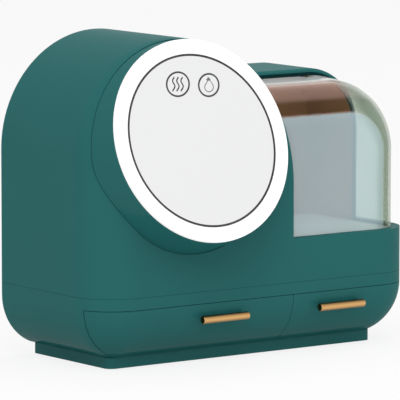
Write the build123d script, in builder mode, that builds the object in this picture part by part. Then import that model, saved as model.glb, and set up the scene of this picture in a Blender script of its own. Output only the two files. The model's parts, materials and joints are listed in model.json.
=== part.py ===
# Makeup organizer: an arched cabinet with a tilted lit mirror, two drawers and a clear flip-up cover.
import os
from math import asin, cos, degrees, radians, sin, sqrt

from build123d import *

# Overall size. The front lies at -Y, and the origin is the middle of the footprint on the table.
width = 366.0
depth = 200.0
height = 300.0
drum_reach = 40.0

# Walls and fits
wall = 3.0
seam = 0.5
slide_gap = 0.2
seat_gap = 0.3
pin_gap = 0.05

# Cabinet outline: the flank's values are measured from the arch's edge and centre
arch_gap = 18.0
corner_r = 42.0
base_r = 51.0
flank_out = 5.5
flank_low = 32.5
flank_r = 147.0
flank_rise = 28.5

# Heights of the levels
pad_out = 0.8
plinth_top = 11.0
drawer_top = 58.0
band_top = 69.0
ledge_z = 110.0

# Hood and compartment
hood_drop = 42.5
hood_depth = 75.0
hood_r = 60.0
hood_in = 5.7
hood_edge_r = 3.0
cover_inset = 7.0
deck_drop = 7.0
floor_thick = 2.0
lining_thick = 2.0

# Clear cover and its hinges
cover_thick = 2.5
cover_edge_r = 38.5
cover_swell = 27.0
hinge_drop = 4.5
hinge_back = 5.0
knuckle_r = 3.5
knuckle_len = 7.0
arm_width = 8.0
arm_riser = 8.0
arm_back = 5.0
pin_r = 1.5
hinge_side = 12.0

# Mirror drum
tilt = 18.5
ring_step = 11.5
drum_step = 2.0
drum_wall = 3.0
drum_ledge = 7.0
skirt_depth = 12.0
skirt_gap = 0.7
diffuser_thick = 2.5
ring_width = 14.0
trim_width = 1.3
trim_proud = 0.3
film_r = 46.0
film_drop = 8.0
film_thick = 0.3
carrier_thick = 3.2
channel_depth = 9.5
board_thick = 1.6
chip_count = 24
chip_size = 3.0
chip_high = 1.4
touch_w = 58.0
touch_h = 22.0
touch_r = 3.0
touch_side = 4.0
touch_drop = 28.5

# Plinth and pads
plinth_inset = 31.0
plinth_corner_r = 8.0
pad_r = 8.0
pad_thick = 2.4

# Drawers
tray_gap = 1.5
tray_wall = 2.0
tray_top = 52.0
tray_back_gap = 5.0
front_wrap = 30.0
front_edge = 0.7
strip_width = 8.0
strip_in = 16.0
handle_length = 52.0
handle_r = 3.7
handle_share = 0.377
handle_off = 3.4
handle_z = 43.8
post_r = 2.5
post_pitch = 40.0
boss_r = 5.0
boss_end = 12.0

# Fasteners, and the lugs and bosses that they hold in
screw_r = 1.5
screw_head_r = 2.75
screw_head_high = 2.0
screw_length = 9.0
lug_w = 14.0
lug_h = 12.0
lug_thick = 4.0
lug_in = 7.0
drum_boss_r = 4.5
panel_boss_in = 4.0
panel_boss_up = 14.0
panel_boss_long = 22.0
panel_hole = 12.0

# Power and control
cell_r = 9.2
cell_length = 65.0
holder_wall = 3.0
holder_floor = 2.0
holder_high = 14.0
holder_back = 52.0
socket_w = 9.2
socket_h = 3.4
socket_skin = 0.4
socket_sunk = 0.8
socket_deep = 6.0
board_w = 60.0
board_h = 44.0
board_side = 46.0
board_up = 30.0
board_edge = 4.0
board_part = 11.0
board_part_high = 3.0
panel_post = 9.0
panel_post_r = 3.0

# Places that follow from the sizes above
left = -width / 2
right = width / 2
back = depth / 2
body_depth = depth - drum_reach
front = back - body_depth
cap_y = front + corner_r
wrap_y = front + front_wrap
arch_r = (height - band_top - arch_gap) / 2
arch_z = height - arch_r
drum_x = left + arch_r
tall_width = 2 * arch_r + flank_out
split_x = left + tall_width
flank_z = arch_z - flank_low
flank_top = arch_z + flank_rise
hinge_length = arm_width + 4 * seat_gap + 2 * knuckle_len
hood_top = height - hood_drop
hood_corner = min(hood_r, right - split_x - 2 * hinge_length - 4 * seat_gap)
cover_edge = min(cover_edge_r, hood_corner - cover_inset - wall)
hood_front = back - hood_depth
roof_z = hood_top - wall
hood_side = right - hood_in
cover_side = right - cover_inset
deck_top = ledge_z - deck_drop + wall
hinge_places = [split_x + hinge_side, right - hood_corner - hinge_side]
recess_inset = cover_inset + cover_thick + 2 * seat_gap
recess_side = right - recess_inset
ring_r = arch_r - ring_step
trim_r = ring_r - ring_width
drum_base_r = arch_r - drum_step
skirt_r = arch_r - wall - skirt_gap
drum_screw_r = arch_r - wall - lug_in
mirror_y = -depth / 2 + ring_r * sin(radians(tilt))
mirror_z = height - ring_r * cos(radians(tilt))
mirror_plane = Plane(
    origin=(drum_x, mirror_y, mirror_z),
    x_dir=(1, 0, 0),
    z_dir=(0, -cos(radians(tilt)), sin(radians(tilt))),
)
rear_plane = Plane.XZ.offset(-back)
drum_plane = Plane.XZ.offset(-cap_y)


def tall_outline(inset):
    """Draw the arched outline of the tall part, set in by a wall."""
    radius = arch_r - inset
    with BuildLine() as outline:
        arch = CenterArc((drum_x, arch_z), radius, 0, 180)
        foot_left = Line(arch @ 1, (drum_x - radius, band_top))
        foot = Line(foot_left @ 1, (drum_x + radius, band_top))
        Line(foot @ 1, arch @ 0)
    return outline.edges()


def flank_outline(inset):
    """Draw the flat flank beside the drum, with its curved upper right edge."""
    radius = flank_r - inset
    top = flank_top - inset
    centre_x = split_x - flank_r
    sweep_angle = degrees(asin((top - flank_z) / radius))
    with BuildLine() as outline:
        rise = CenterArc((centre_x, flank_z), radius, 0, sweep_angle)
        over = Line(rise @ 1, (drum_x, top))
        down = Line(over @ 1, (drum_x, band_top))
        foot = Line(down @ 1, (split_x - inset, band_top))
        Line(foot @ 1, rise @ 0)
    return outline.edges()


def hood_outline(inset, side, low, swell=0.0):
    """Draw the hood's outline, set in from its roof, from the tall part to the rounded corner at the right."""
    radius = hood_corner - inset + swell
    top = hood_top - inset
    with BuildLine() as outline:
        corner = CenterArc((side - radius, top - radius), radius, 0, 90)
        over = Line(corner @ 1, (drum_x, top))
        down = Line(over @ 1, (drum_x, low))
        foot = Line(down @ 1, (side, low))
        Line(foot @ 1, corner @ 0)
    return outline.edges()


def low_outline(inset, from_x, to_y):
    """Draw the plan of the low right part with its rounded front corner."""
    radius = corner_r - inset
    side = right - inset
    near = front + inset
    with BuildLine() as outline:
        corner = CenterArc((side - radius, near + radius), radius, 270, 90)
        flank = Line(corner @ 1, (side, to_y))
        rear = Line(flank @ 1, (from_x, to_y))
        inner = Line(rear @ 1, (from_x, near))
        Line(inner @ 1, corner @ 0)
    return outline.edges()


def base_section(inset, top):
    """Draw the cross-section of the base across its width, rounded at both lower corners."""
    radius = base_r - inset
    turn = degrees(asin((drawer_top - plinth_top - inset) / radius))
    near_x = left + inset
    far_x = right - inset
    with BuildLine() as outline:
        near = CenterArc((near_x + radius, drawer_top), radius, 180, turn)
        far = CenterArc((far_x - radius, drawer_top), radius, 360 - turn, turn)
        Line(near @ 1, far @ 0)
        if top > drawer_top:
            Polyline(far @ 1, (far_x, top), (near_x, top), near @ 0)
        else:
            Line(far @ 1, near @ 0)
    return outline.edges()


def base_front_section(inset, top):
    """Draw the section from the front face to the corner axis, rounded at the lower edge."""
    radius = base_r - inset
    turn = degrees(asin((drawer_top - plinth_top - inset) / radius))
    near_y = front + inset
    with BuildLine() as outline:
        curve = CenterArc((near_y + radius, drawer_top), radius, 180, turn)
        foot = Line(curve @ 1, (cap_y, plinth_top + inset))
        rise = Line(foot @ 1, (cap_y, top))
        over = Line(rise @ 1, (near_y, top))
        Line(over @ 1, curve @ 0)
    return outline.edges()


def base_block(inset, top):
    """Make the tub-shaped base as one block, set in by a wall."""
    side = corner_r - inset
    near_x = left + inset + side
    far_x = right - inset - side
    with BuildPart() as block:
        with BuildSketch(Plane.XZ.offset(-back)):
            make_face(base_section(inset, top))
        extrude(amount=back - cap_y)
        with BuildSketch(Plane.YZ.offset(near_x)):
            make_face(base_front_section(inset, top))
        extrude(amount=far_x - near_x)
        with BuildSketch(Plane.YZ.offset(near_x)):
            make_face(base_front_section(inset, top))
        revolve(axis=Axis((near_x, cap_y, 0), (0, 0, -1)), revolution_arc=90)
        with BuildSketch(Plane.YZ.offset(far_x)):
            make_face(base_front_section(inset, top))
        revolve(axis=Axis((far_x, cap_y, 0), (0, 0, 1)), revolution_arc=90)
    return block.part


def span_box(x0, x1, y0, y1, z0, z1, mode):
    """Add, cut or keep a block between two corners."""
    with Locations(((x0 + x1) / 2, (y0 + y1) / 2, (z0 + z1) / 2)):
        Box(x1 - x0, y1 - y0, z1 - z0, mode=mode)


def base_front_y(z, inset):
    """Return the front face's place at a height below the drawer seam."""
    radius = base_r - inset
    return front + base_r - sqrt(radius**2 - (drawer_top - z) ** 2)


def screw_along_y(x, z, head_y, tip_y):
    """Make a round-headed screw along Y whose head bears at head_y."""
    towards = 1 if head_y > tip_y else -1
    with BuildPart() as screw:
        with BuildSketch(Plane.XZ.offset(-head_y)):
            with Locations((x, z)):
                Circle(screw_head_r)
        extrude(amount=-towards * screw_head_high)
        with BuildSketch(Plane.XZ.offset(-head_y)):
            with Locations((x, z)):
                Circle(screw_r)
        extrude(amount=head_y - tip_y)
    return screw.part


pieces = {}

# Base plinth with pockets for its pads
with BuildPart() as base_plinth:
    plinth_w = width - 2 * plinth_inset
    plinth_front = front + plinth_inset
    plinth_d = back - wall - plinth_front
    with BuildSketch(Plane.XY.offset(pad_out)):
        with Locations((0, plinth_front + plinth_d / 2)):
            RectangleRounded(plinth_w, plinth_d, plinth_corner_r)
    extrude(amount=plinth_top - pad_out)
    pad_x = plinth_w - 4 * pad_r
    pad_y = plinth_d - 4 * pad_r
    with BuildSketch(Plane.XY.offset(pad_out)):
        with Locations((0, plinth_front + plinth_d / 2)):
            with GridLocations(pad_x, pad_y, 2, 2):
                Circle(pad_r + seat_gap)
    extrude(amount=pad_thick - pad_out, mode=Mode.SUBTRACT)
pieces["base_plinth"] = base_plinth.part

# Pads that the organizer stands on
with BuildPart() as rubber_feet:
    with BuildSketch():
        with Locations((0, plinth_front + plinth_d / 2)):
            with GridLocations(pad_x, pad_y, 2, 2):
                Circle(pad_r)
    extrude(amount=pad_thick)
pieces["rubber_feet"] = rubber_feet.part

# Drawer housing: rear of the tub, deck over the drawers and the band below the parting line
with BuildPart() as drawer_housing:
    add(base_block(0.0, band_top))
    span_box(left - 1, right + 1, front - 1, wrap_y, 0, drawer_top, Mode.SUBTRACT)
    with BuildSketch(Plane.XZ.offset(-back + wall)):
        make_face(base_section(wall, drawer_top))
    extrude(amount=body_depth, mode=Mode.SUBTRACT)
    span_box(split_x - wall / 2, split_x + wall / 2, wrap_y, back - wall / 2, plinth_top + wall / 2,
             drawer_top + wall / 2, Mode.ADD)
    with BuildSketch(Plane.XY.offset(drawer_top + wall)):
        make_face(low_outline(wall, drum_x, back - wall))
        mirror(about=Plane.YZ)
    extrude(amount=band_top, mode=Mode.SUBTRACT)
pieces["drawer_housing"] = drawer_housing.part

# Low-friction strips under the trays
strip_y0 = cap_y + 2.0
strip_y1 = back - wall - tray_back_gap
with BuildPart() as runner_strips:
    strip_top = plinth_top + wall + tray_gap - slide_gap
    strip_places = [
        (left + base_r + strip_width / 2, 0),
        (split_x - strip_in, 0),
        (split_x + strip_in, 0),
        (right - base_r - strip_width / 2, 0),
    ]
    with BuildSketch(Plane.XY.offset(plinth_top + wall)):
        with Locations((0, (strip_y0 + strip_y1) / 2)):
            with Locations(*strip_places):
                Rectangle(strip_width, strip_y1 - strip_y0)
    extrude(amount=strip_top - plinth_top - wall)
pieces["runner_strips"] = runner_strips.part

# Space inside the arched part, with the same rounded front edge as the outside
with BuildPart() as tall_core:
    with BuildSketch(rear_plane):
        make_face(tall_outline(wall))
    extrude(amount=body_depth - wall)
    front_face = tall_core.faces().sort_by(Axis.Y)[0]
    fillet(front_face.edges().filter_by(lambda e: e.center().Z > band_top + 1), corner_r - wall)

# The room that the drum needs in the shell: its slanted sides and the space in front of the mirror
with BuildPart() as drum_room:
    with BuildSketch(drum_plane):
        with Locations((drum_x, arch_z)):
            Circle(drum_base_r + seam)
    with BuildSketch(mirror_plane.offset(-diffuser_thick)):
        Circle(ring_r + seam)
    loft(ruled=True)
    with BuildSketch(mirror_plane.offset(-diffuser_thick)):
        Circle(ring_r + seam)
    extrude(amount=corner_r)

# Upper shell: arched part, flat flank, low right part and hood in one moulding
with BuildPart() as upper_shell:
    with BuildSketch(rear_plane):
        make_face(tall_outline(0.0))
    extrude(amount=body_depth)
    front_face = upper_shell.faces().sort_by(Axis.Y)[0]
    fillet(front_face.edges().filter_by(lambda e: e.center().Z > band_top + 1), corner_r)
    with BuildSketch(rear_plane):
        make_face(flank_outline(0.0))
    extrude(amount=body_depth)
    with BuildSketch(Plane.XY.offset(band_top)):
        make_face(low_outline(0.0, drum_x, back))
    extrude(amount=ledge_z - band_top)
    with BuildSketch(rear_plane):
        make_face(hood_outline(0.0, hood_side, ledge_z - 1))
    extrude(amount=hood_depth)
    rim = upper_shell.edges().filter_by(lambda e: abs(e.center().Y - hood_front) < 0.01)
    fillet(rim.filter_by(lambda e: e.center().X > split_x and e.center().Z > ledge_z + 1), hood_edge_r)
    # Hollow of the arched part and the flank, open at the back and below
    add(tall_core.part, mode=Mode.SUBTRACT)
    with BuildSketch(rear_plane):
        make_face(flank_outline(wall))
    extrude(amount=body_depth - wall, mode=Mode.SUBTRACT)
    # Hollow below the compartment's deck
    with BuildSketch(Plane.XY.offset(band_top)):
        make_face(low_outline(wall, split_x, back - wall))
    extrude(amount=deck_top - wall - band_top, mode=Mode.SUBTRACT)
    # Compartment: recess for the floor, opening in the hood's rim and hollow of the hood
    with BuildSketch(Plane.XY.offset(deck_top)):
        make_face(low_outline(recess_inset, split_x, hood_front + wall))
    extrude(amount=deck_drop - wall, mode=Mode.SUBTRACT)
    rim_back = hood_front + wall
    for inset, side, near_y, far_y in ((cover_inset - seam, recess_side, hood_front, rim_back),
                                       (wall, hood_side - wall, rim_back, back - wall)):
        with BuildSketch(Plane.XZ.offset(-far_y)):
            make_face(hood_outline(inset, side, deck_top))
            make_face(tall_outline(0.0), mode=Mode.SUBTRACT)
            make_face(flank_outline(0.0), mode=Mode.SUBTRACT)
        extrude(amount=far_y - near_y, mode=Mode.SUBTRACT)
    add(drum_room.part, mode=Mode.SUBTRACT)
    # Lugs that take the drum's screws, and bosses for the back cover
    with BuildSketch(Plane.XZ.offset(-cap_y - skirt_depth)):
        with Locations((drum_x, arch_z)):
            with PolarLocations(arch_r - wall / 2 - lug_h / 2, 3, 30, 120, endpoint=True):
                Rectangle(lug_h, lug_w)
    extrude(amount=-lug_thick)
    boss_side = wall + panel_boss_in
    boss_reach = (arch_r - boss_side) * sin(radians(45))
    boss_places = [
        (left + boss_side, band_top + panel_boss_up),
        (split_x - boss_side, band_top + panel_boss_up),
        (drum_x - boss_reach, arch_z + boss_reach),
        (drum_x + boss_reach, arch_z + boss_reach),
    ]
    with BuildSketch(Plane.XZ.offset(-back + wall)):
        with Locations(*boss_places):
            Circle(boss_r)
    extrude(amount=panel_boss_long)
    with BuildSketch(Plane.XZ.offset(-back + wall)):
        with Locations(*boss_places):
            Circle(screw_r)
    extrude(amount=panel_hole, mode=Mode.SUBTRACT)
    with BuildSketch(Plane.XZ.offset(-cap_y - skirt_depth - lug_thick)):
        with Locations((drum_x, arch_z)):
            with PolarLocations(drum_screw_r, 3, 30, 120, endpoint=True):
                Circle(screw_r + seat_gap)
    extrude(amount=lug_thick, mode=Mode.SUBTRACT)
pieces["upper_shell"] = upper_shell.part

# Floor and brown lining of the compartment: back, right side and roof
with BuildPart() as compartment_floor:
    with BuildSketch(Plane.XY.offset(deck_top)):
        make_face(low_outline(recess_inset + seat_gap, split_x + seat_gap, back - wall - seat_gap))
    extrude(amount=floor_thick)
pieces["compartment_floor"] = compartment_floor.part

with BuildPart() as compartment_lining:
    lining_in = wall + seat_gap
    lining_low = deck_top + floor_thick + seat_gap
    with BuildSketch(Plane.XZ.offset(-back + wall)):
        make_face(hood_outline(lining_in, hood_side - lining_in, lining_low))
        make_face(tall_outline(-seat_gap), mode=Mode.SUBTRACT)
        make_face(flank_outline(-seat_gap), mode=Mode.SUBTRACT)
    extrude(amount=back - wall - rim_back - seat_gap)
    lining_in += lining_thick
    with BuildSketch(Plane.XZ.offset(-back + wall + lining_thick)):
        make_face(hood_outline(lining_in, hood_side - lining_in, lining_low))
    extrude(amount=back, mode=Mode.SUBTRACT)
    # Slots for the hinge arms' feet
    for hinge_x in hinge_places:
        reach = arm_width / 2 + seat_gap
        foot_back = hood_front + arm_back + arm_riser + seat_gap
        span_box(hinge_x - reach, hinge_x + reach, hood_front, foot_back, roof_z - lining_thick - 1, roof_z,
                 Mode.SUBTRACT)
pieces["compartment_lining"] = compartment_lining.part

# Back cover of the arched part, with posts for the control board and a slot for the charge socket
board_x = drum_x + board_side
board_z = band_top + board_up
socket_z = board_z - board_h / 2 + board_edge + socket_h / 2
with BuildPart() as back_cover:
    with BuildSketch(rear_plane):
        make_face(tall_outline(wall + seat_gap))
        make_face(flank_outline(wall + seat_gap))
    extrude(amount=wall)
    span_box(left, right, back - 2 * wall, back + 1, band_top - 1, band_top + seat_gap, Mode.SUBTRACT)
    with BuildSketch(Plane.XZ.offset(-back + wall)):
        with Locations((board_x, board_z)):
            with GridLocations(board_w - 2 * board_edge, board_h - 2 * board_edge, 2, 2):
                Circle(panel_post_r)
    extrude(amount=panel_post)
    with BuildSketch(rear_plane):
        with Locations(*boss_places):
            Circle(screw_r + seat_gap)
        with Locations((board_x, socket_z)):
            RectangleRounded(socket_w + 4 * seat_gap, socket_h + 4 * seat_gap, socket_h / 2)
    extrude(amount=wall, mode=Mode.SUBTRACT)
    with BuildSketch(rear_plane):
        with Locations(*boss_places):
            Circle(screw_head_r + seat_gap)
    extrude(amount=screw_head_high, mode=Mode.SUBTRACT)
pieces["back_cover"] = back_cover.part

back_head_y = back - screw_head_high
back_tip_y = back_head_y - screw_length
back_cover_screws = Compound([screw_along_y(x, z, back_head_y, back_tip_y) for x, z in boss_places])
pieces["back_cover_screws"] = back_cover_screws

# Control board with its larger components, and the charge socket that shows through the back
board_y = back - wall - panel_post
with BuildPart() as control_board:
    with BuildSketch(Plane.XZ.offset(-board_y)):
        with Locations((board_x, board_z)):
            Rectangle(board_w, board_h)
    extrude(amount=board_thick)
    with BuildSketch(Plane.XZ.offset(-board_y + board_thick)):
        with Locations((board_x, board_z)):
            with GridLocations(2 * board_part, 1.5 * board_part, 2, 2):
                Rectangle(board_part, board_part)
    extrude(amount=board_part_high)
pieces["control_board"] = control_board.part

with BuildPart() as charge_socket:
    with BuildSketch(Plane.XZ.offset(-board_y)):
        with Locations((board_x, socket_z)):
            SlotOverall(socket_w, socket_h)
    extrude(amount=-(wall + panel_post - socket_sunk))
    with BuildSketch(Plane.XZ.offset(-back + socket_sunk)):
        with Locations((board_x, socket_z)):
            SlotOverall(socket_w - 2 * socket_skin, socket_h - 2 * socket_skin)
    extrude(amount=socket_deep, mode=Mode.SUBTRACT)
pieces["charge_socket"] = charge_socket.part

# Battery cells side by side in a holder on the deck
holder_y = back - holder_back
holder_z = drawer_top + wall
bay_x = cell_length / 2 + seat_gap
bay_y = 2 * cell_r + 2 * seat_gap
with BuildPart() as battery_holder:
    with BuildSketch(Plane.XY.offset(holder_z)):
        with Locations((drum_x, holder_y)):
            RectangleRounded(2 * (bay_x + holder_wall), 2 * (bay_y + holder_wall), holder_wall)
    extrude(amount=holder_high)
    span_box(drum_x - bay_x, drum_x + bay_x, holder_y - bay_y, holder_y + bay_y, holder_z + holder_floor,
             holder_z + 2 * holder_high, Mode.SUBTRACT)
pieces["battery_holder"] = battery_holder.part

with BuildPart() as battery_cells:
    with BuildSketch(Plane.YZ.offset(drum_x - cell_length / 2)):
        with Locations((holder_y, holder_z + holder_floor + cell_r)):
            with GridLocations(2 * cell_r + 2 * seat_gap, 0, 2, 1):
                Circle(cell_r)
    extrude(amount=cell_length)
pieces["battery_cells"] = battery_cells.part

# Mirror drum: slanted housing between the arch and the tilted ring, with a ledge for the carrier
channel_z = -(diffuser_thick + channel_depth)
carrier_z = channel_z - carrier_thick
with BuildPart() as drum_core:
    with BuildSketch(drum_plane):
        with Locations((drum_x, arch_z)):
            Circle(drum_base_r - drum_wall)
    with BuildSketch(mirror_plane.offset(-diffuser_thick)):
        Circle(ring_r - drum_wall)
    loft(ruled=True)
    with BuildSketch(mirror_plane.offset(carrier_z)):
        Circle(2 * ring_r)
        Circle(ring_r - drum_wall - drum_ledge, mode=Mode.SUBTRACT)
    extrude(amount=-drum_wall, mode=Mode.SUBTRACT)
with BuildPart() as mirror_drum:
    with BuildSketch(drum_plane):
        with Locations((drum_x, arch_z)):
            Circle(drum_base_r)
    with BuildSketch(mirror_plane.offset(-diffuser_thick)):
        Circle(ring_r)
    loft(ruled=True)
    add(drum_core.part, mode=Mode.SUBTRACT)
    with BuildSketch(drum_plane):
        with Locations((drum_x, arch_z)):
            Circle(skirt_r)
            Circle(skirt_r - drum_wall, mode=Mode.SUBTRACT)
            with PolarLocations(drum_screw_r, 3, 30, 120, endpoint=True):
                Circle(drum_boss_r)
    extrude(amount=-skirt_depth)
    with BuildSketch(Plane.XZ.offset(-cap_y - skirt_depth)):
        with Locations((drum_x, arch_z)):
            with PolarLocations(drum_screw_r, 3, 30, 120, endpoint=True):
                Circle(screw_r)
    extrude(amount=skirt_depth - drum_wall, mode=Mode.SUBTRACT)
pieces["mirror_drum"] = mirror_drum.part

lug_y = cap_y + skirt_depth + lug_thick
drum_screw_places = PolarLocations(drum_screw_r, 3, 30, 120, endpoint=True).locations
drum_screws = Compound([
    screw_along_y(drum_x + place.position.X, arch_z + place.position.Y, lug_y, lug_y - screw_length)
    for place in drum_screw_places
])
pieces["drum_screws"] = drum_screws

# Lit ring, dark trim and mirror
with BuildPart() as led_diffuser:
    with BuildSketch(mirror_plane):
        Circle(ring_r)
        Circle(trim_r + pin_gap, mode=Mode.SUBTRACT)
    extrude(amount=-diffuser_thick)
pieces["led_diffuser"] = led_diffuser.part

with BuildPart() as mirror_trim:
    with BuildSketch(mirror_plane.offset(trim_proud)):
        Circle(trim_r)
        Circle(trim_r - trim_width, mode=Mode.SUBTRACT)
    extrude(amount=-diffuser_thick - trim_proud)
pieces["mirror_trim"] = mirror_trim.part

with BuildPart() as mirror_glass:
    with BuildSketch(mirror_plane):
        Circle(trim_r - trim_width - pin_gap)
    extrude(amount=-diffuser_thick)
pieces["mirror_glass"] = mirror_glass.part

# Demist film in a shallow recess of the carrier, which also carries the ring board
with BuildPart() as demist_film:
    with BuildSketch(mirror_plane.offset(-diffuser_thick)):
        with Locations((0, -film_drop)):
            Circle(film_r)
    extrude(amount=-film_thick)
pieces["demist_film"] = demist_film.part

hub_r = trim_r + 1.5
channel_r = ring_r - drum_wall - 0.6
plate_z = -(diffuser_thick + carrier_thick)
with BuildPart() as mirror_carrier:
    with BuildSketch(mirror_plane.offset(-diffuser_thick)):
        Circle(hub_r)
    extrude(amount=-carrier_thick)
    with BuildSketch(mirror_plane.offset(plate_z)):
        Circle(hub_r)
        Circle(hub_r - wall, mode=Mode.SUBTRACT)
    extrude(amount=carrier_z - plate_z)
    with BuildSketch(mirror_plane.offset(channel_z)):
        Circle(channel_r)
        Circle(hub_r - wall, mode=Mode.SUBTRACT)
    extrude(amount=-carrier_thick)
    with BuildSketch(mirror_plane.offset(-diffuser_thick)):
        with Locations((0, -film_drop)):
            Circle(film_r + seat_gap)
    extrude(amount=-film_thick, mode=Mode.SUBTRACT)
pieces["mirror_carrier"] = mirror_carrier.part

with BuildPart() as led_board:
    with BuildSketch(mirror_plane.offset(channel_z)):
        Circle(channel_r - 0.6)
        Circle(hub_r + 0.6, mode=Mode.SUBTRACT)
    extrude(amount=board_thick)
pieces["led_board"] = led_board.part

with BuildPart() as led_chips:
    with BuildSketch(mirror_plane.offset(channel_z + board_thick)):
        with PolarLocations((channel_r + hub_r) / 2, chip_count):
            Rectangle(chip_size, chip_size)
    extrude(amount=chip_high)
pieces["led_chips"] = led_chips.part

with BuildPart() as touch_board:
    with BuildSketch(mirror_plane.offset(plate_z)):
        with Locations((touch_side, trim_r - touch_drop)):
            RectangleRounded(touch_w, touch_h, touch_r)
    extrude(amount=-board_thick)
pieces["touch_board"] = touch_board.part

# Clear cover: thin moulding with rounded top and right edges, open towards the arched part
cover_back = hood_front - seam
cover_front = front + cover_inset
hinge_y = hood_front - hinge_back
cover_lap_back = cover_back - hinge_y
hinge_z = hood_top - cover_inset - hinge_drop
with BuildPart() as cover_core:
    core_top = hood_top - cover_inset - cover_thick
    core_in = cover_inset + cover_thick
    core_side = cover_side - cover_thick
    with BuildSketch(Plane.XZ.offset(-cover_back)):
        make_face(hood_outline(core_in, core_side, ledge_z))
    with BuildSketch(Plane.XZ.offset(-cover_front - cover_thick)):
        make_face(hood_outline(core_in, core_side, ledge_z, cover_swell))
    loft(ruled=True)
    rim = cover_core.faces().sort_by(Axis.Y)[0].edges()
    rounded = rim.filter_by(lambda e: e.center().Z > core_top - 0.1 or e.center().X > right - hood_corner)
    fillet(rounded, cover_edge - cover_thick)
with BuildPart() as clear_cover:
    cover_top = hood_top - cover_inset
    with BuildSketch(Plane.XZ.offset(-cover_back)):
        make_face(hood_outline(cover_inset, cover_side, ledge_z + seat_gap))
    with BuildSketch(Plane.XZ.offset(-cover_front)):
        make_face(hood_outline(cover_inset, cover_side, ledge_z + seat_gap, cover_swell))
    loft(ruled=True)
    rim = clear_cover.faces().sort_by(Axis.Y)[0].edges()
    rounded = rim.filter_by(lambda e: e.center().Z > cover_top - 0.1 or e.center().X > right - hood_corner)
    fillet(rounded, cover_edge)
    add(cover_core.part, mode=Mode.SUBTRACT)
    with BuildSketch(Plane.XZ.offset(-cover_back - 1)):
        make_face(tall_outline(-2 * seat_gap))
        make_face(flank_outline(-2 * seat_gap))
    extrude(amount=cover_back - cover_front + 2, mode=Mode.SUBTRACT)
    # The lip behind the hinge dips as the cover opens, so it stops short of the arch
    lip_sweep = sqrt(cover_lap_back**2 + hinge_drop**2)
    lip_rise = hinge_z - lip_sweep - arch_z
    lip_x = drum_x + sqrt((arch_r + 2 * seat_gap) ** 2 - lip_rise**2) + seat_gap
    span_box(drum_x, lip_x, hinge_y - 2 * knuckle_r, cover_back + 1, hinge_z, cover_top + 1, Mode.SUBTRACT)
    for hinge_x in hinge_places:
        reach = arm_width / 2 + 2 * seat_gap
        span_box(hinge_x - reach, hinge_x + reach, hinge_y - 2 * knuckle_r, cover_back + 1, hinge_z,
                 cover_top + 1, Mode.SUBTRACT)
        for near_x in (hinge_x - reach - knuckle_len, hinge_x + reach):
            span_box(near_x, near_x + knuckle_len, hinge_y - knuckle_r, hinge_y + knuckle_r, hinge_z,
                     cover_top - cover_thick / 2, Mode.ADD)
            with BuildSketch(Plane.YZ.offset(near_x)):
                with Locations((hinge_y, hinge_z)):
                    Circle(knuckle_r)
            extrude(amount=knuckle_len)
            with BuildSketch(Plane.YZ.offset(near_x)):
                with Locations((hinge_y, hinge_z)):
                    Circle(pin_r + pin_gap)
            extrude(amount=knuckle_len, mode=Mode.SUBTRACT)
pieces["clear_cover"] = clear_cover.part

# Hinge arms under the hood's roof, and their pins
riser_y = hood_front + arm_back
arm_low = hinge_z - knuckle_r
with BuildPart() as hinge_brackets:
    for hinge_x in hinge_places:
        with BuildSketch(Plane.YZ.offset(hinge_x - arm_width / 2)):
            with BuildLine():
                nose = CenterArc((hinge_y, hinge_z), knuckle_r, 90, 180)
                under = Line(nose @ 1, (riser_y + arm_riser, arm_low))
                rear = Line(under @ 1, (riser_y + arm_riser, roof_z))
                over = Line(rear @ 1, (riser_y, roof_z))
                inner = Line(over @ 1, (riser_y, hinge_z + knuckle_r))
                Line(inner @ 1, nose @ 0)
            make_face()
            with Locations((hinge_y, hinge_z)):
                Circle(pin_r, mode=Mode.SUBTRACT)
        extrude(amount=arm_width)
pieces["hinge_brackets"] = hinge_brackets.part

with BuildPart() as hinge_pins:
    for hinge_x in hinge_places:
        with BuildSketch(Plane.YZ.offset(hinge_x - hinge_length / 2)):
            with Locations((hinge_y, hinge_z)):
                Circle(pin_r)
        extrude(amount=hinge_length)
pieces["hinge_pins"] = hinge_pins.part

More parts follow.
